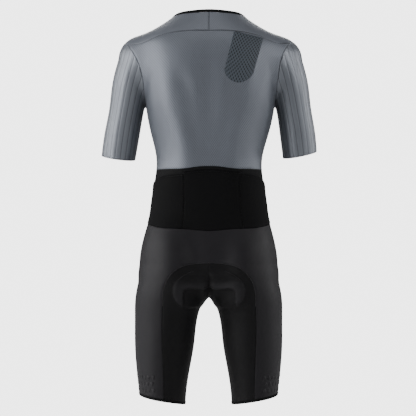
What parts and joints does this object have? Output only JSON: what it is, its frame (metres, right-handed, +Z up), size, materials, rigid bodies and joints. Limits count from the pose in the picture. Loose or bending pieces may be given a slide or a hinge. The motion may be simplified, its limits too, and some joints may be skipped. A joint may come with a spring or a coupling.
{
  "type": "cycling skinsuit",
  "caption": "One-piece cycling suit filled out as if worn: short ribbed sleeves, front zip, lower-back pockets and thigh-length legs.",
  "frame": {"origin": "between the wearer's shoulders, at the height of the shoulders, inside the hollow suit", "axes": "+Z up towards the head, +X towards the wearer's right, +Y out of the wearer's front; the pictured back faces -Y"},
  "size_m": [0.5353, 0.2441, 0.9632],
  "materials": {
    "back_panel": "fine knit, satin",
    "collar": "elastic binding, matt",
    "front_left": "fine knit, satin",
    "front_right": "fine knit, satin",
    "leg_hem_left": "elastic binding, matt",
    "leg_hem_right": "elastic binding, matt",
    "lower_back": "matt stretch knit",
    "mesh_patch": "perforated mesh, matt",
    "pocket_centre": "matt stretch knit",
    "pocket_left": "matt stretch knit",
    "pocket_right": "matt stretch knit",
    "shorts_inner_left": "matt stretch knit",
    "shorts_inner_right": "matt stretch knit",
    "shorts_outer": "matt stretch knit",
    "sleeve_left": "lengthwise ribbed knit, satin",
    "sleeve_right": "lengthwise ribbed knit, satin",
    "zip_pull": "dark plated",
    "zip_slider": "dark plated",
    "zip_tape_left": "woven tape with a row of teeth",
    "zip_tape_right": "woven tape with a row of teeth"
  },
  "bodies": {
    "suit": {"back_panel": "back_panel", "collar": "collar", "front_left": "front_left", "front_right": "front_right", "leg_hem_left": "leg_hem_left", "leg_hem_right": "leg_hem_right", "lower_back": "lower_back", "mesh_patch": "mesh_patch", "pocket_centre": "pocket_centre", "pocket_left": "pocket_left", "pocket_right": "pocket_right", "shorts_inner_left": "shorts_inner_left", "shorts_inner_right": "shorts_inner_right", "shorts_outer": "shorts_outer", "sleeve_left": "sleeve_left", "sleeve_right": "sleeve_right", "zip_slider": "zip_slider", "zip_tape_left": "zip_tape_left", "zip_tape_right": "zip_tape_right"},
    "zip_pull": {"zip_pull": "zip_pull"}
  },
  "joints": [
    {"name": "pull_hinge", "type": "hinge", "parent": "suit", "child": "zip_pull", "pos_m": [0, 0.09711, -0.01123], "axis": [1, 0, 0], "range_deg": [0, 150]}
  ]
}
